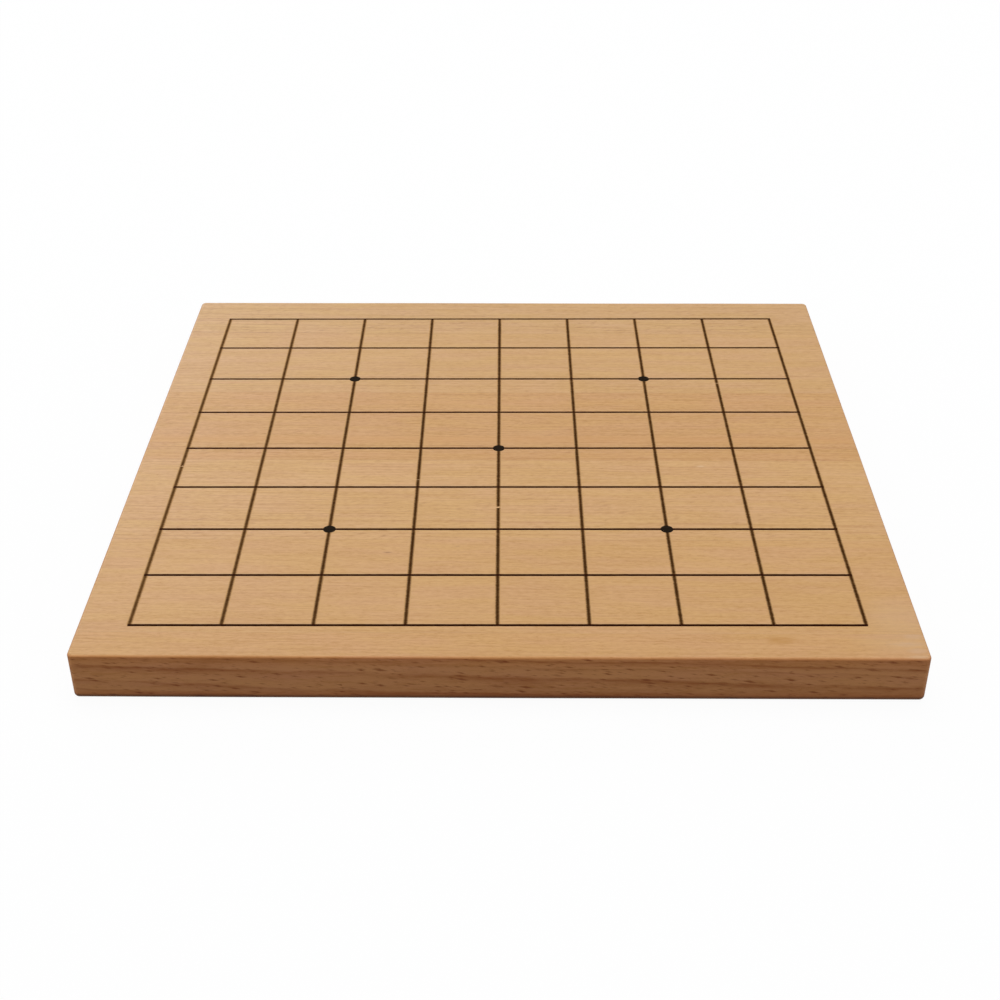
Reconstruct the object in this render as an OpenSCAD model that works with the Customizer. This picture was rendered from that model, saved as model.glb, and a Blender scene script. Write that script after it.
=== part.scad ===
// Go board with a small grid: a flat panel of beech staves glued edge to edge, with the grid
// and its star points printed on the top face.
// The origin is the middle of the underside. The staves run along X, from left to right.
// The near player sits on the -Y side, and the board lies on the plane z = 0.

/* [Grid] */
// Number of lines each way
lines = 9; // [7:2:13]
// Spacing of the column lines, measured along the grain
column_pitch = 23.7; // [18:0.1:30]
// Spacing of the row lines, measured across the grain
row_pitch = 22; // [18:0.1:30]
// How far the print sits to the left of the panel's middle
print_shift = 0.8; // [0:0.1:2]
// How far the print is turned on the panel, in degrees, anticlockwise from above
print_turn = 0.3; // [-1:0.05:1]

/* [Ink] */
// Width of a printed line
line_w = 0.85; // [0.4:0.05:1.5]
// Diameter of a star point
star_d = 3.7; // [2:0.1:6]
// Which line, counted from the edge of the grid, carries the outer star points
star_line = 3; // [2:1:3]
// Thickness of the ink film
ink_t = 0.05; // [0.02:0.01:0.2]

/* [Panel] */
// Wood outside the grid at the left and right ends, before the print is shifted
end_margin = 13.7; // [8:0.1:30]
// Wood outside the grid along the front and back edges
side_margin = 13.2; // [8:0.1:30]
// Thickness of the panel
panel_t = 13.8; // [8:0.1:30]

/* [Staves] */
// Width of a full stave, as the panel was glued up before it was cut to size
stave_w = 42; // [25:1:80]
// Width that is left of the first stave, along the front edge
front_strip_w = 10; // [7:0.5:40]
// Thickness of a glue line
glue_t = 0.1; // [0.05:0.01:0.3]

/* [Edges] */
// Radius of the four upright corners, seen from above
corner_r = 1.6; // [1.4:0.1:5]
// Round-over along the top edge
top_round = 0.7; // [0.2:0.05:1.2]
// Round-over along the bottom edge
bottom_round = 1.2; // [0.4:0.1:1.4]

/* [Hidden] */
$fn = 48;

wood_colours = ["#d2a878", "#d4ab7c", "#d8b084", "#d0a473", "#d5ad80", "#d7b088"];
glue_colour = "#b98a55";
ink_colour = "#17140f";

grid_x = (lines - 1) * column_pitch;
grid_y = (lines - 1) * row_pitch;
panel_x = grid_x + 2 * end_margin;
panel_y = grid_y + 2 * side_margin;

// A corner cannot be tighter than the cutter that rounds the edges around it.
plan_r = max(corner_r, top_round, bottom_round);

// Places of the glue joints from front to back. The last stave takes what is left of the panel,
// and no strip narrower than half the panel's thickness is left along the back edge.
joint_first = front_strip_w - panel_y / 2;
joint_limit = (panel_y - panel_t) / 2;
joints = [for (y = [joint_first : stave_w : joint_limit]) y];
stave_count = len(joints) + 1;

// Front and back face of each stave: a joint, less half the glue, or the panel's own edge.
function stave_front(i) = i == 1 ? -panel_y / 2 : joints[i - 2] + glue_t / 2;
function stave_back(i) = i == stave_count ? panel_y / 2 : joints[i - 1] - glue_t / 2;

// Places of the printed lines in the print itself, numbered from the left and from the front.
function column_x(i) = (i - 1) * column_pitch - grid_x / 2;
function row_y(i) = (i - 1) * row_pitch - grid_y / 2;

// Lines that cross at each star point: four outer ones and the middle.
star_far = lines + 1 - star_line;
star_mid = (lines + 1) / 2;
star_crossings = [
    [star_line, star_line],
    [star_far, star_line],
    [star_mid, star_mid],
    [star_line, star_far],
    [star_far, star_far]
];

stave_names = [for (i = [1 : stave_count]) str("stave_", i)];
glue_names = [for (i = [1 : len(joints)]) str("glue_line_", i)];
row_names = [for (i = [1 : lines]) str("row_line_", i)];
column_names = [for (i = [1 : lines]) str("column_line_", i)];
star_names = [for (i = [1 : len(star_crossings)]) str("star_point_", i)];

// Section through the panel's rim, with its outer face on the line x = 0.
module rim_section(depth) {
    translate([-depth, 0])
        square([depth - bottom_round, panel_t - top_round]);
    translate([-depth, bottom_round])
        square([depth - top_round, panel_t - bottom_round]);
    translate([-depth, bottom_round])
        square([depth, panel_t - bottom_round - top_round]);
    translate([-bottom_round, bottom_round])
        circle(r = bottom_round);
    translate([-top_round, panel_t - top_round])
        circle(r = top_round);
}

// Section across the whole panel, from rim to rim.
module panel_section(width) {
    for (side = [0, 1])
        mirror([side, 0])
            translate([width / 2, 0])
                rim_section(width / 2);
}

// The glued panel, cut to size, with its upright corners and its edges rounded.
module panel() {
    rotate([90, 0, 0])
        linear_extrude(height = panel_y - 2 * plan_r, center = true)
            panel_section(panel_x);
    rotate([90, 0, 90])
        linear_extrude(height = panel_x - 2 * plan_r, center = true)
            panel_section(panel_y);
    for (sx = [-1, 1], sy = [-1, 1])
        translate([sx * (panel_x / 2 - plan_r), sy * (panel_y / 2 - plan_r), 0])
            rotate_extrude()
                intersection() {
                    translate([plan_r, 0])
                        rim_section(plan_r);
                    square([plan_r, panel_t]);
                }
}

// The slice of the panel between two planes across the grain.
module panel_slice(front, back) {
    intersection() {
        panel();
        translate([-panel_x / 2, front, 0])
            cube([panel_x, back - front, panel_t]);
    }
}

// One full-length stave of the panel.
module stave(i) {
    color(wood_colours[(i - 1) % len(wood_colours)])
        panel_slice(stave_front(i), stave_back(i));
}

// The film of set glue between a stave and the next one behind it.
module glue_line(i) {
    color(glue_colour)
        panel_slice(stave_back(i), stave_front(i + 1));
}

// A layer of ink on the top face, where the print came down a little out of place and out of square.
module ink() {
    color(ink_colour)
        translate([-print_shift, 0, panel_t])
            rotate([0, 0, print_turn])
                linear_extrude(height = ink_t)
                    children();
}

// The outlines of all the star points.
module star_outlines() {
    for (c = star_crossings)
        translate([column_x(c[0]), row_y(c[1])])
            circle(d = star_d);
}

// The outline of one row line, from the first column line to the last.
module row_outline(i) {
    translate([column_x(1) - line_w / 2, row_y(i) - line_w / 2])
        square([grid_x + line_w, line_w]);
}

// A printed line from left to right. It stops at the star points that it meets.
module row_line(i) {
    ink()
        difference() {
            row_outline(i);
            star_outlines();
        }
}

// A printed line from front to back, in lengths between the row lines that it crosses.
module column_line(i) {
    ink()
        difference() {
            translate([column_x(i) - line_w / 2, row_y(1)])
                square([line_w, grid_y]);
            for (k = [1 : lines])
                row_outline(k);
            star_outlines();
        }
}

// A printed dot where two lines cross.
module star_point(i) {
    ink()
        translate([column_x(star_crossings[i - 1][0]), row_y(star_crossings[i - 1][1])])
            circle(d = star_d);
}

for (i = [1 : stave_count])
    stave(i);
for (i = [1 : len(joints)])
    glue_line(i);
for (i = [1 : lines])
    row_line(i);
for (i = [1 : lines])
    column_line(i);
for (i = [1 : len(star_crossings)])
    star_point(i);
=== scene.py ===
from math import ceil, cos, pi, radians, sin

import bmesh
import bpy
from mathutils import Matrix, Vector, noise


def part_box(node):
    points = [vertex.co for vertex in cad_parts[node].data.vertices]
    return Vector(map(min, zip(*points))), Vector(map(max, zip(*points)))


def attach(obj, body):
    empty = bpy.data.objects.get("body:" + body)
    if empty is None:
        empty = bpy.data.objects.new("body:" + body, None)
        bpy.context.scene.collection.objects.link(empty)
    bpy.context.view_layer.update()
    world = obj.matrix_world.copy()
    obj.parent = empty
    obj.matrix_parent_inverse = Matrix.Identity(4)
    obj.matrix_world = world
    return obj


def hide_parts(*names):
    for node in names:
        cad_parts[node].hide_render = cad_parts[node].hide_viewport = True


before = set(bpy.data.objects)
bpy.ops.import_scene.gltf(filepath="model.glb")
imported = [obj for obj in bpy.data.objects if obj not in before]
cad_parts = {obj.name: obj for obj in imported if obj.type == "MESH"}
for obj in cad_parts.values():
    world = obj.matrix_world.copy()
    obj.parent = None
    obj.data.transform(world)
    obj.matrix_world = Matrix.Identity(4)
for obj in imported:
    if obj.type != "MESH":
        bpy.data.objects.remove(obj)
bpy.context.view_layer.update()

# Staves: six full-length strips of beech, with the grain from left to right, glued edge to edge
# into one flat panel. The panel was cut to size, its upright corners and its edges were rounded
# with a cutter and eased by hand with sandpaper, and it was finished with a thin satin lacquer.
MM = 0.001


def nodes_called(start):
    """The frame's nodes whose names start like this, in order."""
    return sorted(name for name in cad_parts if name.startswith(start))


stave_names = nodes_called("stave_")
panel_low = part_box(stave_names[0])[0]
panel_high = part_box(stave_names[-1])[1]
corner_r = 1.6 * MM
top_round = 0.7 * MM
bottom_round = 1.2 * MM
flat_band = 0.12 * MM
edge_step = 3 * MM
quarter_turn = pi / 2
corner_steps = 8
top_round_steps = 6
bottom_round_steps = 8
crease_angle = radians(40)
face_loss = 0.02 * MM
top_sanding = dict(even=1.05, uneven=0.25, spread=40 * MM, seed=1.5)
bottom_sanding = dict(even=0.97, uneven=0.08, spread=55 * MM, seed=7.5)
face_sanding = dict(even=1, uneven=1, spread=70 * MM, seed=4.5)


def panel_outline():
    """Points round the panel from above: the place inside the rim, and the way out to the rim."""
    reach_x = (panel_high.x - panel_low.x) / 2 - corner_r
    reach_y = (panel_high.y - panel_low.y) / 2 - corner_r
    middle = (panel_low + panel_high) / 2
    corners = [(1, -1), (1, 1), (-1, 1), (-1, -1)]
    points = []
    for number, (side_x, side_y) in enumerate(corners):
        turn_start = -quarter_turn + number * quarter_turn
        corner = Vector((middle.x + side_x * reach_x, middle.y + side_y * reach_y))
        for step in range(corner_steps + 1):
            angle = turn_start + step / corner_steps * quarter_turn
            points.append((corner, Vector((cos(angle), sin(angle)))))
        next_x, next_y = corners[(number + 1) % len(corners)]
        far_corner = Vector((middle.x + next_x * reach_x, middle.y + next_y * reach_y))
        way_out = points[-1][1]
        steps = ceil((far_corner - corner).length / edge_step)
        for step in range(1, steps):
            points.append((corner.lerp(far_corner, step / steps), way_out))
    return points


def sanded(place, even, uneven, spread, seed):
    """What sandpaper made of an edge here, as a share of its planned shape."""
    return even + uneven * noise.noise(Vector((place.x / spread, place.y / spread, seed)))


def rim_section(rim, thickness):
    """The rim at one place, from the top face to the underside: depth inside the rim, and height."""
    upper = top_round * sanded(rim, **top_sanding)
    lower = bottom_round * sanded(rim, **bottom_sanding)
    face = face_loss * sanded(rim, **face_sanding)
    section = [(face + upper + flat_band, thickness)]
    for step in range(top_round_steps + 1):
        angle = step / top_round_steps * quarter_turn
        section.append((face + upper * (1 - sin(angle)), thickness - upper * (1 - cos(angle))))
    for step in range(bottom_round_steps + 1):
        angle = step / bottom_round_steps * quarter_turn
        section.append((face + lower * (1 - cos(angle)), lower * (1 - sin(angle))))
    section.append((face + lower + flat_band, 0))
    return section


def panel_mesh():
    """The whole glued panel, rounded and sanded, before it is told apart into its strips."""
    mesh = bmesh.new()
    thickness = panel_high.z - panel_low.z
    columns = []
    for inside, way_out in panel_outline():
        column = []
        for depth, height in rim_section(inside + way_out * corner_r, thickness):
            place = inside + way_out * (corner_r - depth)
            column.append(mesh.verts.new((place.x, place.y, panel_low.z + height)))
        columns.append(column)
    for number, column in enumerate(columns):
        following = columns[(number + 1) % len(columns)]
        for row in range(len(column) - 1):
            mesh.faces.new((column[row], column[row + 1], following[row + 1], following[row]))
    mesh.faces.new([column[0] for column in columns])
    mesh.faces.new([column[-1] for column in reversed(columns)])
    bmesh.ops.recalc_face_normals(mesh, faces=mesh.faces)
    return mesh


whole_panel = panel_mesh()


def panel_slice(name, front, back):
    """The strip of the panel between two upright planes, closed where it meets the next strip."""
    strip = whole_panel.copy()
    for place, outward in ((front, -1), (back, 1)):
        bmesh.ops.bisect_plane(
            strip,
            geom=strip.verts[:] + strip.edges[:] + strip.faces[:],
            plane_co=(0, place, 0),
            plane_no=(0, outward, 0),
            clear_outer=True,
        )
        open_edges = [edge for edge in strip.edges if edge.is_boundary]
        if open_edges:
            bmesh.ops.holes_fill(strip, edges=open_edges)
    bmesh.ops.recalc_face_normals(strip, faces=strip.faces)
    mesh = bpy.data.meshes.new(name)
    strip.to_mesh(mesh)
    strip.free()
    mesh.shade_smooth()
    mesh.set_sharp_from_angle(angle=crease_angle)
    piece = bpy.data.objects.new(name, mesh)
    bpy.context.scene.collection.objects.link(piece)
    return piece


def put(tree, kind, inputs=None, **settings):
    """Adds a node to a tree and gives its inputs a value or a wire from another node."""
    node = tree.nodes.new(kind)
    for name, setting in settings.items():
        setattr(node, name, setting)
    for key, source in (inputs or {}).items():
        if isinstance(source, bpy.types.NodeSocket):
            tree.links.new(source, node.inputs[key])
        else:
            node.inputs[key].default_value = source
    return node


def reckon(tree, operation, *terms):
    """A sum in a tree, such as ADD or MULTIPLY, on numbers and wires."""
    return put(tree, "ShaderNodeMath", dict(enumerate(terms)), operation=operation).outputs[0]


def lift(tree, source, rise, start):
    """Begins at the start and rises from there as far as the source says."""
    return reckon(tree, "MULTIPLY_ADD", source, rise, start)


def swing(tree, source):
    """Noise from 0 to 1 as a swing to both sides of 0."""
    return reckon(tree, "SUBTRACT", source, 0.5)


def fade(tree, source, none, full):
    """Goes smoothly from 0, where the source is at none, to 1, where it is at full."""
    inputs = {"Value": source, "From Min": none, "From Max": full}
    return put(tree, "ShaderNodeMapRange", inputs, interpolation_type="SMOOTHSTEP").outputs[0]


def grain_noise(tree, place, size, detail, roughness=0.5):
    """Noise from 0 to 1 whose lumps have this size in millimetres, along and across the grain."""
    inputs = {0: place, 1: tuple(1 / length for length in size)}
    scaled = put(tree, "ShaderNodeVectorMath", inputs, operation="MULTIPLY").outputs[0]
    inputs = {"Vector": scaled, "Scale": 1, "Detail": detail, "Roughness": roughness}
    return put(tree, "ShaderNodeTexNoise", inputs).outputs["Fac"]


def dyed(tree, colour, factor, other, blend="MIX"):
    """A colour with another one laid over it as far as the factor says."""
    # The node has sockets for numbers and for vectors too. These are the ones for colours.
    inputs = {0: factor, 6: colour, 7: other}
    return put(tree, "ShaderNodeMix", inputs, data_type="RGBA", blend_type=blend).outputs[2]


def new_finish(name):
    """A new material with its tree, and the place on the board in millimetres to set patterns by."""
    material = bpy.data.materials.new(name)
    material.use_nodes = True
    tree = material.node_tree
    surface = put(tree, "ShaderNodeTexCoord").outputs["Object"]
    board = put(tree, "ShaderNodeVectorMath", {0: surface, "Scale": 1 / MM}, operation="SCALE").outputs[0]
    return material, tree, board


def close_finish(tree, colour, matt, shine, relief, strength, depth):
    """Ends a material: its colour, how matt it is, how much it shines, and the fine relief on it."""
    shader = tree.nodes["Principled BSDF"]
    tree.links.new(colour, shader.inputs["Base Color"])
    tree.links.new(matt, shader.inputs["Roughness"])
    shader.inputs["Specular IOR Level"].default_value = shine
    inputs = {"Height": relief, "Strength": strength, "Distance": depth}
    tree.links.new(put(tree, "ShaderNodeBump", inputs).outputs[0], shader.inputs["Normal"])


log_step = 90
pith_distance = 170
fibre_winding = 0.14
fibre_ripple = 0.7
ring_unevenness = 1.6
year_darkening = ((0.3, 0.08), (0.65, 0.4), (0.86, 1))
fine_ray_share = 0.7
ray_core = 0.3
pore_dark = 0.5
fleck_dark = 0.92
plain_dark = 0.15
yellow_share = (1.0, 1.01, 0.93)
pink_share = (1.0, 0.99, 1.07)
dark_share = (0.70, 0.59, 0.34)
ring_share = (0.50, 0.30, 0.12)
ray_share = (0.41, 0.25, 0.11)
# Tints for the sides: the upright sides, partly painted shade, the end grain, a painted highlight on the
# front rounding, a darker band below it, and painted shade low down towards the floor.
side_tint_and_shade = (1.0, 0.80, 0.78, 1)
end_tint = (0.80, 0.60, 0.50, 1)
arris_highlight_tint = (1.13, 1.01, 0.98, 1)
upper_band_tint = (0.95, 0.88, 0.77, 1)
painted_low_shade_tint = (0.80, 0.64, 0.53, 1)
painted_floor_shade_tint = (0.375, 0.375, 0.36, 1)


def toned(tone, shares):
    """The wood's own tone with a share of each of its three colours."""
    return (*(level * share for level, share in zip(tone, shares)), 1)


def spindles(tree, grain, size, seed):
    """Rays cut through: ribbons in the wood, set at random in cells of this length, width and depth."""
    inputs = {0: grain, 1: tuple(1 / length for length in size), 2: (seed, seed, seed)}
    spot = put(tree, "ShaderNodeVectorMath", inputs, operation="MULTIPLY_ADD").outputs[0]
    cells = put(tree, "ShaderNodeTexVoronoi", {"Vector": spot, "Scale": 1}, distance="MANHATTAN")
    chance = put(tree, "ShaderNodeSeparateColor", {0: cells.outputs["Color"]}).outputs
    edge = lift(tree, chance[1], rise=0.3, start=0.35)
    core = reckon(tree, "MULTIPLY", edge, ray_core)
    spindle = fade(tree, cells.outputs["Distance"], none=edge, full=core)
    return reckon(tree, "MULTIPLY", spindle, fade(tree, chance[0], none=0, full=0.8))


def end_grain(tree, facing):
    """How far a face shows end grain: 0 on the faces along the grain, and 1 at the left and right."""
    return fade(tree, reckon(tree, "ABSOLUTE", facing["X"]), none=0.2, full=0.95)


def edge_highlight_and_shade(tree, colour, board, facing):
    """The colour of a side with the painted highlight, painted shade and darker band that lie along its
    rounded edges.
    """
    # The upper rounding along the front is made lighter and warmer, a painted highlight where it catches
    # the light.
    frontward = fade(tree, facing["Y"], none=-0.1, full=-0.4)
    painted_arris_highlight = reckon(tree, "MULTIPLY", frontward, fade(tree, facing["Z"], none=0.1, full=0.5))
    colour = dyed(tree, colour, painted_arris_highlight, arris_highlight_tint, "MULTIPLY")

    # The sides are darker and warmer in a band just below the upper rounding.
    height = put(tree, "ShaderNodeSeparateXYZ", {0: board}).outputs["Z"]
    upper_band = fade(tree, height, none=9.6, full=13.0)
    darker_band = reckon(tree, "MULTIPLY", upper_band, fade(tree, facing["Z"], none=0.9, full=0.55))
    colour = dyed(tree, colour, darker_band, upper_band_tint, "MULTIPLY")
    # Lower down, the sides darken towards the floor as painted shade.
    off_underside = fade(tree, facing["Z"], none=-0.98, full=-0.88)
    darker_band = reckon(tree, "MULTIPLY", fade(tree, height, none=3.5, full=1.2), off_underside)
    colour = dyed(tree, colour, darker_band, painted_low_shade_tint, "MULTIPLY")

    # The lower rounding is darkened to grey, a painted shade where it turns under towards the floor.
    painted_floor_shade = reckon(tree, "MULTIPLY", fade(tree, height, none=1.8, full=1.0), off_underside)
    return dyed(tree, colour, painted_floor_shade, painted_floor_shade_tint, "MULTIPLY")


def beech(name, middle, tone, cut_angle, ring_width, slope, wander, seed, streaks=1, marks=()):
    """Lacquered beech, solid all through: growth rings round a far pith, rays, fibres and pores.
    The cut angle is how far the rings lean from upright. All sizes are in millimetres, and the middle
    is the stave's own, across the board."""
    material, tree, board = new_finish(name)

    # Millimetres along and across the grain, which runs a little out of true with the board. Each
    # stave comes from another place along the log.
    shift = (seed * log_step, -middle, 0)
    turn = {"Vector": board, "Location": shift, "Rotation": (0, 0, radians(slope))}
    place = put(tree, "ShaderNodeMapping", turn).outputs[0]
    drift = grain_noise(tree, place, size=(120, 26, 26), detail=2)
    spot = put(tree, "ShaderNodeSeparateXYZ", {0: place}).outputs

    # Distance from the pith, and the way round it.
    lean = radians(cut_angle)
    drifted = lift(tree, drift, rise=wander, start=spot["Y"])
    ripple = grain_noise(tree, place, size=(10, 3, 3), detail=2)
    drifted = lift(tree, ripple, rise=fibre_ripple, start=drifted)
    figure = put(tree, "ShaderNodeCombineXYZ", {"X": spot["X"], "Y": drifted, "Z": spot["Z"]}).outputs[0]
    from_pith_y = reckon(tree, "ADD", drifted, pith_distance * cos(lean))
    from_pith_z = reckon(tree, "ADD", spot["Z"], pith_distance * sin(lean))
    outward = put(tree, "ShaderNodeCombineXYZ", {"Y": from_pith_y, "Z": from_pith_z}).outputs[0]
    radius = put(tree, "ShaderNodeVectorMath", {0: outward}, operation="LENGTH").outputs["Value"]
    around = reckon(tree, "MULTIPLY", reckon(tree, "ARCTAN2", from_pith_z, from_pith_y), pith_distance)
    around = lift(tree, spot["X"], rise=fibre_winding, start=around)
    grain = put(tree, "ShaderNodeCombineXYZ", {"X": spot["X"], "Y": around, "Z": radius}).outputs[0]

    # How squarely a face cuts the rays across, and how far it is upright or end grain.
    normal = put(tree, "ShaderNodeNewGeometry").outputs["Normal"]
    radial = put(tree, "ShaderNodeVectorMath", {0: outward}, operation="NORMALIZE").outputs[0]
    across = put(tree, "ShaderNodeVectorMath", {0: normal, 1: radial}, operation="DOT_PRODUCT")
    cut_across = reckon(tree, "POWER", reckon(tree, "ABSOLUTE", across.outputs["Value"]), 2)
    facing = put(tree, "ShaderNodeSeparateXYZ", {0: normal}).outputs
    upright = fade(tree, reckon(tree, "ABSOLUTE", facing["Z"]), none=0.75, full=0.2)
    end = end_grain(tree, facing)

    # Growth rings: a slow darkening, and a soft dark band where each year ended.
    inputs = {"W": radius, "Scale": 0.23, "Detail": 1}
    uneven = put(tree, "ShaderNodeTexNoise", inputs, noise_dimensions="1D").outputs["Fac"]
    ring = reckon(tree, "DIVIDE", radius, ring_width)
    ring = lift(tree, uneven, rise=ring_unevenness, start=ring)
    ring = reckon(tree, "ADD", ring, seed)
    year = put(tree, "ShaderNodeValToRGB", {"Fac": reckon(tree, "FRACT", ring)})
    stops = year.color_ramp.elements
    stops[0].color = (0, 0, 0, 1)
    stops[1].color = (0, 0, 0, 1)
    for position, level in year_darkening:
        stops.new(position).color = (level, level, level, 1)
    inputs = {"W": reckon(tree, "FLOOR", ring)}
    weather = put(tree, "ShaderNodeTexWhiteNoise", inputs, noise_dimensions="1D").outputs["Value"]
    year_strength = lift(tree, weather, rise=0.6, start=0.4)
    rings = reckon(tree, "MULTIPLY", year.outputs["Color"], year_strength)
    patches = grain_noise(tree, place, size=(22, 3, 3), detail=4, roughness=0.7)
    rings = reckon(tree, "MULTIPLY", rings, fade(tree, patches, none=0.25, full=0.65))

    # Rays: thin ribbons that run outward from the pith. A face that cuts them across shows short dark
    # spindles, and one that they lie in hardly shows them.
    broad_rays = spindles(tree, grain, size=(5.2, 0.95, 8), seed=seed)
    fine_rays = spindles(tree, grain, size=(3.6, 0.66, 6), seed=seed + 0.5)
    rays = lift(tree, fine_rays, rise=fine_ray_share, start=broad_rays)

    fibres = grain_noise(tree, figure, size=(18, 0.6, 0.6), detail=4, roughness=0.62)
    pores = fade(tree, grain_noise(tree, figure, size=(1.5, 0.11, 0.11), detail=1), none=0.6, full=0.7)
    clouds = grain_noise(tree, figure, size=(50, 7, 7), detail=4, roughness=0.7)
    flecks = grain_noise(tree, figure, size=(2.4, 0.6, 0.6), detail=3)
    blush = fade(tree, grain_noise(tree, figure, size=(24, 4, 4), detail=2), none=0.3, full=0.7)

    # The colour, from the wood's plain yellow and pink through its fibres to its rings and rays.
    bare = reckon(tree, "MAXIMUM", cut_across, end)
    fibre_depth = lift(tree, bare, rise=0.6, start=0.8 * streaks)
    shade = lift(tree, swing(tree, fibres), rise=fibre_depth, start=plain_dark)
    cloud_depth = lift(tree, upright, rise=1.7, start=0.6)
    shade = lift(tree, swing(tree, clouds), rise=cloud_depth, start=shade)
    shade = lift(tree, pores, rise=pore_dark, start=shade)
    shade = lift(tree, swing(tree, flecks), rise=fleck_dark * streaks, start=shade)
    colour = dyed(tree, toned(tone, yellow_share), blush, toned(tone, pink_share))
    colour = dyed(tree, colour, shade, toned(tone, dark_share))
    ring_depth = lift(tree, bare, rise=1.2, start=0.03)
    colour = dyed(tree, colour, reckon(tree, "MULTIPLY", rings, ring_depth), toned(tone, ring_share))
    ray_depth = lift(tree, cut_across, rise=1.25, start=-0.2)
    ray_depth = lift(tree, end, rise=0.3, start=ray_depth)
    colour = dyed(tree, colour, reckon(tree, "MULTIPLY", rays, ray_depth), toned(tone, ray_share))

    # Sawn edges and end grain drink more lacquer than the planed faces, so they are darker and redder. The
    # upright sides are darkened further as painted shade, which keeps the near edge darker than the top.
    colour = dyed(tree, colour, reckon(tree, "SUBTRACT", upright, end), side_tint_and_shade, "MULTIPLY")
    colour = dyed(tree, colour, end, end_tint, "MULTIPLY")
    colour = edge_highlight_and_shade(tree, colour, board, facing)

    # Marks on the top face, each with its place, half length, half width, strength and tint.
    topside = fade(tree, facing["Z"], none=0.7, full=0.95)
    fibrous = reckon(tree, "MULTIPLY", lift(tree, flecks, rise=1.6, start=0.2), topside)
    for mark_x, mark_y, half_length, half_width, strength, tint in marks:
        inputs = {0: board, 1: (mark_x, mark_y, 0)}
        offset = put(tree, "ShaderNodeVectorMath", inputs, operation="SUBTRACT").outputs[0]
        inputs = {0: offset, 1: (1 / half_length, 1 / half_width, 0)}
        scaled = put(tree, "ShaderNodeVectorMath", inputs, operation="MULTIPLY").outputs[0]
        reach = put(tree, "ShaderNodeVectorMath", {0: scaled}, operation="LENGTH").outputs["Value"]
        inside = reckon(tree, "MULTIPLY", fade(tree, reach, none=1.2, full=0.2), strength)
        inside = reckon(tree, "MULTIPLY", inside, fibrous)
        colour = dyed(tree, colour, inside, (*tint, 1))

    # The lacquer is satin, a little duller on the sawn sides, and sinks into the pores.
    matt = lift(tree, fibres, rise=0.14, start=0.40)
    matt = lift(tree, upright, rise=0.1, start=matt)
    relief = lift(tree, pores, rise=-0.8, start=fibres)
    close_finish(tree, colour, matt, shine=0.25, relief=relief, strength=0.35, depth=0.03 * MM)
    return material


warm_streak = (0.60, 0.31, 0.115)
rubbed_pale = (0.61, 0.39, 0.23)
scuffed_pale = (0.60, 0.41, 0.29)
painted_edge_highlight = (0.68, 0.47, 0.29)
pale_fleck = (0.74, 0.54, 0.34)
brown_fleck = (0.34, 0.17, 0.07)
dark_fleck = (0.26, 0.12, 0.05)
brown_smudge = (0.50, 0.25, 0.07)
stave_woods = [
    dict(tone=(0.618, 0.346, 0.142), cut_angle=21, ring_width=1.3, slope=0.6, wander=3, seed=0.4,
         marks=((71.6, -93.8, 5.0, 2.0, 0.85, brown_smudge),
                (105.5, -92.0, 3.0, 1.6, 0.3, scuffed_pale),
                (103.5, -95.3, 5.5, 1.2, 0.3, scuffed_pale),
                (105.5, -98.0, 3.0, 1.3, 0.3, scuffed_pale),
                (102.5, -93.5, 14.0, 7.0, 0.28, rubbed_pale),
                # The pale mark on the right front corner is a painted highlight.
                (105.5, -100.6, 4.0, 1.2, 0.35, painted_edge_highlight))),
    dict(tone=(0.623, 0.356, 0.151), cut_angle=17, ring_width=1.4, slope=0.8, wander=5, seed=1.7,
         marks=((-30.8, -55.5, 1.5, 0.3, 0.6, dark_fleck),
                (-11.7, -52.5, 1.0, 0.4, 0.3, brown_fleck),
                (103.5, -85.0, 12.0, 11.0, 0.3, rubbed_pale))),
    dict(tone=(0.644, 0.379, 0.167), cut_angle=28, ring_width=1.3, slope=0.7, wander=4, seed=2.9,
         marks=((59.6, -10.2, 1.5, 0.5, 0.5, pale_fleck),)),
    dict(tone=(0.610, 0.342, 0.142), cut_angle=27, ring_width=1.5, slope=0.8, wander=5, seed=4.2,
         streaks=1.4,
         marks=((0, -4.4, 400, 2.4, 0.2, warm_streak),
                (0, 5.2, 400, 2.8, 0.45, warm_streak),
                (0, 28.2, 400, 1.2, 0.2, warm_streak))),
    dict(tone=(0.625, 0.369, 0.164), cut_angle=24, ring_width=1.35, slope=-0.1, wander=4, seed=5.8),
    dict(tone=(0.619, 0.372, 0.168), cut_angle=33, ring_width=1.6, slope=0.9, wander=5, seed=7.1),
]

for number, (node_name, wood) in enumerate(zip(stave_names, stave_woods), start=1):
    low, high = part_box(node_name)
    stave = panel_slice(f"beech_stave_{number}", low.y, high.y)
    middle = (low.y + high.y) / 2 / MM
    stave.data.materials.append(beech(f"beech of stave {number}", middle, **wood))
    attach(stave, "root")
    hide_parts(node_name)

# Glue lines: films of wood glue, set hard between one stave and the next through the whole
# thickness of the panel. They were planed and rounded together with the wood on both sides.
glue_names = nodes_called("glue_line_")
clear_glue = (0.46, 0.24, 0.09, 1)
dusty_glue = (0.60, 0.37, 0.18, 1)


def set_glue():
    """Hard amber wood glue, clouded where it took up sanding dust, and darker between end grain."""
    material, tree, board = new_finish("set wood glue")
    dust = grain_noise(tree, board, size=(9, 0.6, 0.6), detail=3)
    colour = dyed(tree, clear_glue, dust, dusty_glue)
    normal = put(tree, "ShaderNodeNewGeometry").outputs["Normal"]
    facing = put(tree, "ShaderNodeSeparateXYZ", {0: normal}).outputs
    colour = dyed(tree, colour, end_grain(tree, facing), end_tint, "MULTIPLY")
    colour = edge_highlight_and_shade(tree, colour, board, facing)
    matt = lift(tree, dust, rise=0.2, start=0.35)
    close_finish(tree, colour, matt, shine=0.3, relief=dust, strength=0.3, depth=0.02 * MM)
    return material


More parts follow.
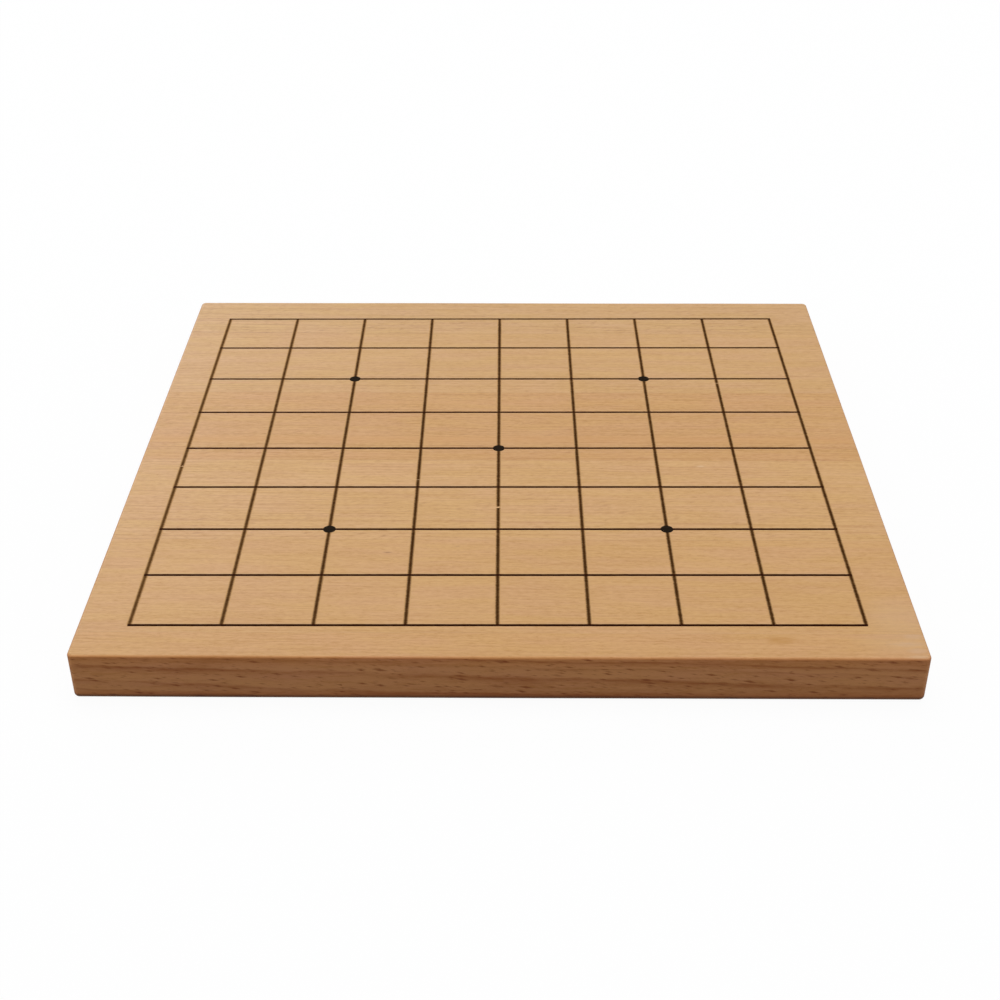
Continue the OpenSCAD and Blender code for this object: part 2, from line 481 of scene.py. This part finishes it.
glue = set_glue()
for number, node_name in enumerate(glue_names, start=1):
    low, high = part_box(node_name)
    film = panel_slice(f"glue_film_{number}", low.y, high.y)
    film.data.materials.append(glue)
    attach(film, "root")
    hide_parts(node_name)
whole_panel.free()

# Printed lines: thin brown-black ink laid on the planed top face through a screen, nine rows and nine
# columns. It soaked along the fibres before it dried, so a row has crisp edges and a column feathered
# ones, and it skips in places where a column crosses hard fibres.
row_names = nodes_called("row_line_")
column_names = nodes_called("column_line_")
print_turn = radians(0.3)
line_w = 0.85 * MM
row_gain = 0.08 * MM
column_gain = 0.12 * MM
row_film = 0.033 * MM
column_film = 0.027 * MM
rim_loss = 0.95
column_tuck = 0.2 * MM
row_feather = 0.02 * MM
column_feather = 0.3 * MM
row_waver = 0.1 * MM
row_waver_length = 2.5 * MM
row_seed = 3.0
column_waver = 0.15 * MM
column_waver_length = 1.5 * MM
column_seed = 40.0
edge_seed = 7.3
line_step = 0.25 * MM
across_points = 9
weld_reach = 0.001 * MM
fibres_per_metre = 9 / MM
fibre_pull = 1.8
usual_patch = 0.45
stained_wood = (0.61, 0.348, 0.15, 1)


def printing_ink(name, body, thin_film, feathered, patchy=0, starved=0):
    """Matt ink that lets a little of the wood through where its film is thin. Where it is feathered, each
    fibre under an edge drew the ink out, or held it back, by a length of its own. Patchy says how much
    the film differs from patch to patch, and starved is the share of ink that is missing at the left."""
    material, tree, board = new_finish(name)
    thin = fade(tree, grain_noise(tree, board, size=(2.2, 0.35, 0.35), detail=3), none=0.56, full=0.78)
    if starved:
        leftward = put(tree, "ShaderNodeSeparateXYZ", {0: board}).outputs["X"]
        missing = reckon(tree, "MULTIPLY", fade(tree, leftward, none=-15, full=-115), starved)
        thin = reckon(tree, "MAXIMUM", thin, missing)
    if patchy:
        patches = grain_noise(tree, board, size=(4, 1.5, 1.5), detail=2)
        patches = reckon(tree, "SUBTRACT", patches, usual_patch)
        thin = lift(tree, patches, rise=patchy, start=thin)
    colour = dyed(tree, body, thin, thin_film)
    if feathered:
        spread = put(tree, "ShaderNodeAttribute", attribute_name="spread").outputs["Fac"]
        pull = grain_noise(tree, board, size=(3, 0.15, 0.15), detail=2)
        least = reckon(tree, "SUBTRACT", spread, fibre_pull / 2)
        edge = lift(tree, pull, rise=fibre_pull, start=least)
        colour = dyed(tree, stained_wood, fade(tree, edge, none=1, full=-1), colour)
    speckle = grain_noise(tree, board, size=(0.3, 0.3, 0.3), detail=2)
    matt = lift(tree, speckle, rise=0.25, start=0.45)
    close_finish(tree, colour, matt, shine=0.01, relief=speckle, strength=0.3, depth=0.015 * MM)
    return material


row_ink = printing_ink(
    "ink of the rows", body=(0.022, 0.0035, 0.0005, 1), thin_film=(0.055, 0.018, 0.004, 1), feathered=True)
column_ink = printing_ink(
    "ink of the columns", body=(0.052, 0.0195, 0.0035, 1), thin_film=(0.120, 0.054, 0.015, 1),
    feathered=True, patchy=1.6, starved=0.8)


def welded(tree, upper, lower):
    """Joins two printed shapes where their points meet."""
    both = put(tree, "GeometryNodeJoinGeometry")
    for part in (upper, lower):
        tree.links.new(part, both.inputs[0])
    inputs = {0: both.outputs[0], "Distance": weld_reach}
    return put(tree, "GeometryNodeMergeByDistance", inputs).outputs[0]


def closed_print(tree, sheet, film):
    """Gives a flat printed shape its thickness and closes it underneath."""
    inputs = {"Mesh": sheet, "Offset Scale": film, "Individual": False}
    raised = put(tree, "GeometryNodeExtrudeMesh", inputs)
    underside = put(tree, "GeometryNodeFlipFaces", {"Mesh": sheet}).outputs[0]
    return welded(tree, raised.outputs["Mesh"], underside)


def finish_tree(tree, geometry, material):
    """Ends a tree: real geometry, its material, and the way out."""
    real = put(tree, "GeometryNodeRealizeInstances", {0: geometry}).outputs[0]
    inked = put(tree, "GeometryNodeSetMaterial", {"Geometry": real, "Material": material}).outputs[0]
    tree.interface.new_socket("Geometry", in_out="OUTPUT", socket_type="NodeSocketGeometry")
    put(tree, "NodeGroupOutput", {0: inked})
    return tree


def new_tree(name, sizes):
    """A tree of geometry nodes with these named inputs."""
    tree = bpy.data.node_groups.new(name, "GeometryNodeTree")
    for label, kind in sizes.items():
        tree.interface.new_socket(label, in_out="INPUT", socket_type=f"NodeSocket{kind}")
    return tree, put(tree, "NodeGroupInput").outputs


def printed_line_tree():
    """A strip of ink along X whose two edges waver and feather, with a skip where it missed the wood."""
    tree, given = new_tree("printed line", {
        "Length": "Float", "Width": "Float", "Film": "Float", "Points": "Int", "Waver": "Float",
        "Waver Length": "Float", "Feather": "Float", "Skip At": "Float", "Skip Length": "Float",
        "Seed": "Float", "Place": "Vector", "Turn": "Vector", "Ink": "Material",
    })
    reach = reckon(tree, "MULTIPLY_ADD", given["Width"], 0.5, given["Feather"])
    strip = put(tree, "GeometryNodeMeshGrid", {
        "Size X": given["Length"], "Size Y": reckon(tree, "MULTIPLY", reach, 2),
        "Vertices X": given["Points"], "Vertices Y": across_points,
    }).outputs["Mesh"]
    spot = put(tree, "ShaderNodeSeparateXYZ", {0: put(tree, "GeometryNodeInputPosition").outputs[0]})
    side = reckon(tree, "SIGN", spot.outputs["Y"])
    sample = put(tree, "ShaderNodeCombineXYZ", {
        "X": reckon(tree, "DIVIDE", spot.outputs["X"], given["Waver Length"]),
        "Y": reckon(tree, "MULTIPLY", side, edge_seed),
        "Z": given["Seed"],
    }).outputs[0]
    ripple = put(tree, "ShaderNodeTexNoise", {"Vector": sample, "Scale": 1, "Detail": 3}).outputs["Fac"]
    ripple = reckon(tree, "MULTIPLY", swing(tree, ripple), given["Waver"])
    share = reckon(tree, "DIVIDE", spot.outputs["Y"], reach)
    shift = put(tree, "ShaderNodeCombineXYZ", {"Y": reckon(tree, "MULTIPLY", ripple, share)}).outputs[0]

    # How far a point lies past the printed edge, in shares of the feather.
    past = reckon(tree, "MULTIPLY_ADD", given["Width"], -0.5, reckon(tree, "ABSOLUTE", spot.outputs["Y"]))
    spread = reckon(tree, "DIVIDE", past, given["Feather"])
    inputs = {"Geometry": strip, "Name": "spread", "Value": spread}
    kept = put(tree, "GeometryNodeStoreNamedAttribute", inputs, data_type="FLOAT", domain="POINT")
    strip = kept.outputs[0]

    # Faces inside the skip go. Its two ends are ragged, because the wood's fibres differ in length.
    inputs = {"W": lift(tree, spot.outputs["Y"], rise=fibres_per_metre, start=given["Seed"]), "Scale": 1}
    ragged = put(tree, "ShaderNodeTexNoise", inputs, noise_dimensions="1D").outputs["Fac"]
    distance = reckon(tree, "ABSOLUTE", reckon(tree, "SUBTRACT", spot.outputs["X"], given["Skip At"]))
    limit = reckon(tree, "MULTIPLY", given["Skip Length"], ragged)
    skipped = put(tree, "FunctionNodeCompare", {0: distance, 1: limit}, operation="LESS_THAN").outputs[0]
    wavy = put(tree, "GeometryNodeSetPosition", {"Geometry": strip, "Offset": shift}).outputs[0]
    inputs = {"Geometry": wavy, "Selection": skipped}
    broken = put(tree, "GeometryNodeDeleteGeometry", inputs, domain="FACE").outputs[0]
    solid = closed_print(tree, broken, given["Film"])

    # The film thins out towards its rim, where there is hardly any left.
    named = put(tree, "GeometryNodeInputNamedAttribute", {"Name": "spread"}, data_type="FLOAT")
    rimward = fade(tree, named.outputs["Attribute"], none=-0.5, full=1)
    loss = reckon(tree, "MULTIPLY", rimward, -rim_loss)
    spot = put(tree, "ShaderNodeSeparateXYZ", {0: put(tree, "GeometryNodeInputPosition").outputs[0]})
    drop = reckon(tree, "MULTIPLY", spot.outputs["Z"], loss)
    drop = put(tree, "ShaderNodeCombineXYZ", {"Z": drop}).outputs[0]
    solid = put(tree, "GeometryNodeSetPosition", {"Geometry": solid, "Offset": drop}).outputs[0]
    inputs = {"Geometry": solid, "Translation": given["Place"], "Rotation": given["Turn"]}
    placed = put(tree, "GeometryNodeTransform", inputs).outputs[0]
    return finish_tree(tree, placed, given["Ink"])


def grown(name, tree, sizes):
    """An object made by a tree of geometry nodes with these sizes, turned into a plain mesh."""
    maker = bpy.data.objects.new(name, bpy.data.meshes.new(f"{name} start"))
    bpy.context.scene.collection.objects.link(maker)
    modifier = maker.modifiers.new("make", "NODES")
    modifier.node_group = tree
    for socket in tree.interface.items_tree:
        if socket.item_type == "SOCKET" and socket.in_out == "INPUT":
            modifier[socket.identifier] = sizes[socket.name]
    evaluated = maker.evaluated_get(bpy.context.evaluated_depsgraph_get())
    mesh = bpy.data.meshes.new_from_object(evaluated)
    maker.modifiers.remove(modifier)
    maker.data = mesh
    mesh.name = name
    return maker


def line_length(extent):
    """The length of a line on the turned print, from how far its node's box reaches along it."""
    return (extent - line_w * sin(print_turn)) / cos(print_turn)


def foot(low, high):
    """The middle of the underside of a node's box."""
    return ((low.x + high.x) / 2, (low.y + high.y) / 2, low.z)


line_tree = printed_line_tree()
row_print = {
    "Width": line_w + row_gain, "Film": row_film, "Feather": row_feather, "Ink": row_ink,
    "Waver": row_waver, "Waver Length": row_waver_length, "Turn": (0, 0, print_turn),
    "Skip At": 0.0, "Skip Length": 0.0,
}
column_print = {
    "Width": line_w + column_gain, "Film": column_film, "Feather": column_feather, "Ink": column_ink,
    "Waver": column_waver, "Waver Length": column_waver_length, "Turn": (0, 0, print_turn + quarter_turn),
}

# The place along a column where the ink skipped, and the length of the skip, in millimetres.
skips = {
    "column_line_1": (-10.4, 0.32),
    "column_line_4": (-18.0, 0.3),
    "column_line_5": (-32.8, 0.7),
    "column_line_8": (41.0, 0.4),
}

for number, node_name in enumerate(row_names, start=1):
    low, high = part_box(node_name)
    length = line_length(high.x - low.x)
    sizes = {
        **row_print, "Length": length, "Points": round(length / line_step),
        "Seed": row_seed + number, "Place": foot(low, high),
    }
    line = grown(f"printed_row_{number}", line_tree, sizes)
    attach(line, "root")
    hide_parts(node_name)

for number, node_name in enumerate(column_names, start=1):
    low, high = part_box(node_name)
    length = line_length(high.y - low.y) + 2 * column_tuck
    skip_place, skip_length = skips.get(node_name, (0, 0))
    sizes = {
        **column_print, "Length": length, "Points": round(length / line_step),
        "Skip At": skip_place * MM, "Skip Length": skip_length * MM,
        "Seed": column_seed + number, "Place": foot(low, high),
    }
    line = grown(f"printed_column_{number}", line_tree, sizes)
    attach(line, "root")
    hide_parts(node_name)

# Star points: round dots of the same ink, printed with the lines. A dot holds more ink than a line,
# so it is blacker, and its film is a little thicker and crowned in the middle.
star_names = nodes_called("star_point_")
dot_points = 72
dot_waver = 0.05
dot_seed = 11.0
star_ink = printing_ink(
    "ink of the star points", body=(0.0125, 0.0078, 0.0042, 1), thin_film=(0.024, 0.014, 0.008, 1),
    feathered=False)

# Steps of the crown from below: a share of the film, and how much of its width is left above it.
crown = ((0.7, 0.97), (0.2, 0.8), (0.1, 0.55))


def printed_dot_tree():
    """A crowned disc of ink with a slightly uneven outline."""
    tree, given = new_tree("printed dot", {
        "Radius": "Float", "Film": "Float", "Waver": "Float", "Seed": "Float", "Place": "Vector",
    })
    inputs = {"Vertices": dot_points, "Radius": given["Radius"]}
    disc = put(tree, "GeometryNodeMeshCircle", inputs, fill_type="NGON").outputs[0]
    spot = put(tree, "GeometryNodeInputPosition").outputs[0]
    way = put(tree, "ShaderNodeVectorMath", {0: spot}, operation="NORMALIZE").outputs[0]
    inputs = {"Vector": way, "W": given["Seed"], "Scale": 2.5, "Detail": 3}
    ripple = put(tree, "ShaderNodeTexNoise", inputs, noise_dimensions="4D").outputs["Fac"]
    reach = reckon(tree, "MULTIPLY", ripple, given["Waver"])
    inputs = {0: spot, "Scale": reckon(tree, "MULTIPLY", reach, -1)}
    shift = put(tree, "ShaderNodeVectorMath", inputs, operation="SCALE").outputs[0]
    disc = put(tree, "GeometryNodeSetPosition", {"Geometry": disc, "Offset": shift}).outputs[0]
    body = disc
    top = None
    for share, inset in crown:
        rise = reckon(tree, "MULTIPLY", given["Film"], share)
        inputs = {"Mesh": body, "Offset Scale": rise, "Individual": False}
        if top:
            inputs["Selection"] = top
        raised = put(tree, "GeometryNodeExtrudeMesh", inputs)
        top = raised.outputs["Top"]
        inputs = {"Geometry": raised.outputs["Mesh"], "Selection": top, "Scale": inset}
        body = put(tree, "GeometryNodeScaleElements", inputs).outputs[0]
    underside = put(tree, "GeometryNodeFlipFaces", {"Mesh": disc}).outputs[0]
    solid = welded(tree, body, underside)
    inputs = {"Geometry": solid, "Translation": given["Place"]}
    placed = put(tree, "GeometryNodeTransform", inputs).outputs[0]
    return finish_tree(tree, placed, star_ink)


dot_tree = printed_dot_tree()
for number, node_name in enumerate(star_names, start=1):
    low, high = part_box(node_name)
    sizes = {
        "Radius": (high.x - low.x) / 2, "Film": high.z - low.z, "Waver": dot_waver,
        "Seed": dot_seed * number, "Place": foot(low, high),
    }
    dot = grown(f"printed_star_{number}", dot_tree, sizes)
    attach(dot, "root")
    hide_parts(node_name)

# Floor: a plain white surface that the board lies on. The camera and reflections see it white,
# and it still takes the board's soft shadow.
floor_reach = 4.0
floor_white = 0.95
floor_seen = (0.93, 0.93, 0.93, 1)
floor_bounce = (0.22, 0.21, 0.20, 1)
plain_white = (1, 1, 1, 1)


def in_view(tree, ray):
    """1 for a ray that sees a thing, straight, in a reflection or through glass, and 0 for any other."""
    seen = reckon(tree, "MAXIMUM", ray["Is Camera Ray"], ray["Is Glossy Ray"])
    return reckon(tree, "MAXIMUM", seen, ray["Is Transmission Ray"])


def plain_floor():
    """A pale floor that reads as white to the camera and keeps a share of the light it gets."""
    material = bpy.data.materials.new("white floor")
    material.use_nodes = True
    tree = material.node_tree
    tree.nodes.clear()
    ray = put(tree, "ShaderNodeLightPath").outputs
    seen = in_view(tree, ray)
    colour = dyed(tree, floor_bounce, ray["Is Camera Ray"], floor_seen)
    lit = put(tree, "ShaderNodeBsdfDiffuse", {"Color": colour}).outputs[0]
    white = put(tree, "ShaderNodeEmission", {"Color": plain_white, "Strength": 1}).outputs[0]
    share = reckon(tree, "MULTIPLY", seen, floor_white)
    mixed = put(tree, "ShaderNodeMixShader", {0: share, 1: lit, 2: white}).outputs[0]
    put(tree, "ShaderNodeOutputMaterial", {"Surface": mixed})
    return material


floor_mesh = bpy.data.meshes.new("floor")
corners = [(-floor_reach, -floor_reach, 0), (floor_reach, -floor_reach, 0),
           (floor_reach, floor_reach, 0), (-floor_reach, floor_reach, 0)]
floor_mesh.from_pydata(corners, [], [(0, 1, 2, 3)])
floor_mesh.materials.append(plain_floor())
floor = bpy.data.objects.new("floor", floor_mesh)
bpy.context.scene.collection.objects.link(floor)

# Light: a wide soft lamp overhead and a little behind the board, one like a window far behind it at
# the left, a weak low one at each side, and an even glow from all round. The near edge of the board
# is left in soft shade.
glow_colour = (0.95, 0.97, 1.0, 1)
glow_strength = 0.45
lamp_aim = Vector((0, 0, 0))
world = bpy.data.worlds.new("studio")
bpy.context.scene.world = world
world.use_nodes = True
world_tree = world.node_tree
world_tree.nodes.clear()
seen = in_view(world_tree, put(world_tree, "ShaderNodeLightPath").outputs)
inputs = {"Color": glow_colour, "Strength": glow_strength}
glow = put(world_tree, "ShaderNodeBackground", inputs).outputs[0]
white = put(world_tree, "ShaderNodeBackground", {"Color": plain_white, "Strength": 1}).outputs[0]
backdrop = put(world_tree, "ShaderNodeMixShader", {0: seen, 1: glow, 2: white}).outputs[0]
put(world_tree, "ShaderNodeOutputWorld", {"Surface": backdrop})


def soft_lamp(name, place, width, depth, power):
    """A flat soft lamp at a place, turned to face the board."""
    lamp = bpy.data.lights.new(name, "AREA")
    lamp.shape = "RECTANGLE"
    lamp.size = width
    lamp.size_y = depth
    lamp.energy = power
    holder = bpy.data.objects.new(name, lamp)
    holder.location = place
    holder.rotation_euler = (lamp_aim - Vector(place)).to_track_quat("-Z", "Y").to_euler()
    bpy.context.scene.collection.objects.link(holder)


soft_lamp("overhead lamp", place=(0.05, 0.35, 1.5), width=1.2, depth=0.9, power=11.7)
soft_lamp("window lamp", place=(-0.9, 1.9, 0.95), width=0.8, depth=0.8, power=8.8)
soft_lamp("right lamp", place=(1.2, -0.2, 0.25), width=0.8, depth=0.4, power=2.6)
soft_lamp("left lamp", place=(-1.2, -0.25, 0.25), width=0.8, depth=0.4, power=2.8)

# Camera: in front of the board and above it, where the near player sits, with the view square to the
# front edge but for the slight turn and roll of a picture taken by hand.
camera_place = (3.6 * MM, -403.8 * MM, 257.7 * MM)
camera_pitch = radians(33.05)
camera_yaw = radians(-0.574)
camera_roll = radians(0.155)
lens = bpy.data.cameras.new("camera")
lens.sensor_width = 36
lens.lens = 55.69
lens.clip_start = 10 * MM
camera = bpy.data.objects.new("camera", lens)
camera.matrix_world = (
    Matrix.Translation(camera_place)
    @ Matrix.Rotation(-camera_yaw, 4, "Z")
    @ Matrix.Rotation(quarter_turn - camera_pitch, 4, "X")
    @ Matrix.Rotation(-camera_roll, 4, "Z")
)
bpy.context.scene.collection.objects.link(camera)
bpy.context.scene.camera = camera
bpy.context.scene.view_settings.view_transform = "Standard"
